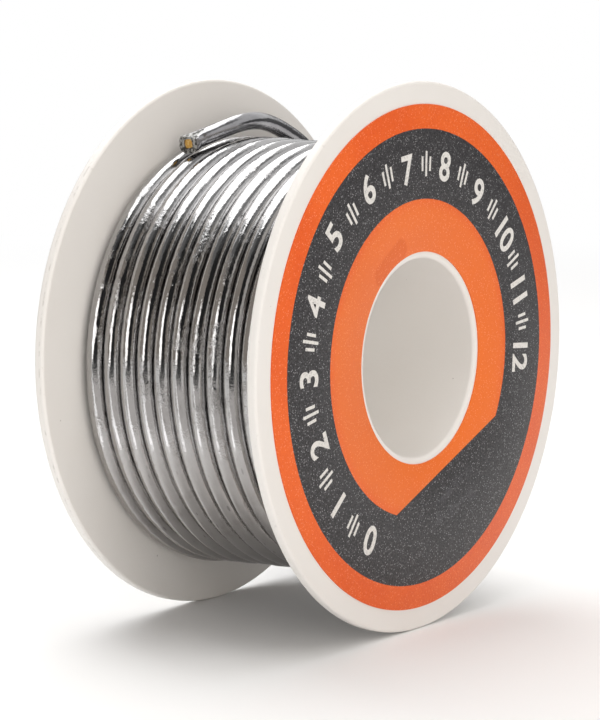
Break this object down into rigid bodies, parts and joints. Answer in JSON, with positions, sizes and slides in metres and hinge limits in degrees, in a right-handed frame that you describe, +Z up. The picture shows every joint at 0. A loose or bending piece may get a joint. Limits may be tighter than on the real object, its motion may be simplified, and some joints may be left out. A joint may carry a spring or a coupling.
{
  "type": "solder wire spool",
  "caption": "Small plastic spool with a labelled flange and an open bore, wound with bare flux-cored solder wire whose free end crosses the outer turns.",
  "frame": {"origin": "centre of the bore, half way between the outer faces of the flanges", "axes": "+Y along the spool's axis from the labelled flange to the plain one, +Z up as it stands on its rims"},
  "size_m": [0.053, 0.0261, 0.053],
  "materials": {
    "white_plastic": "off-white moulded polystyrene, satin, with faint specks and grime at the rims",
    "label_film": "satin printed film: orange disc with a black band",
    "solder": "bright drawn tin-lead wire, finely scratched",
    "flux": "amber rosin"
  },
  "bodies": {
    "root": {"spool_body": "white_plastic", "front_flange": "white_plastic", "front_label": "label_film", "wire_inner_layer": "solder", "wire_outer_layer": "solder", "wire_tail": "solder", "flux_core": "flux"}
  },
  "joints": []
}
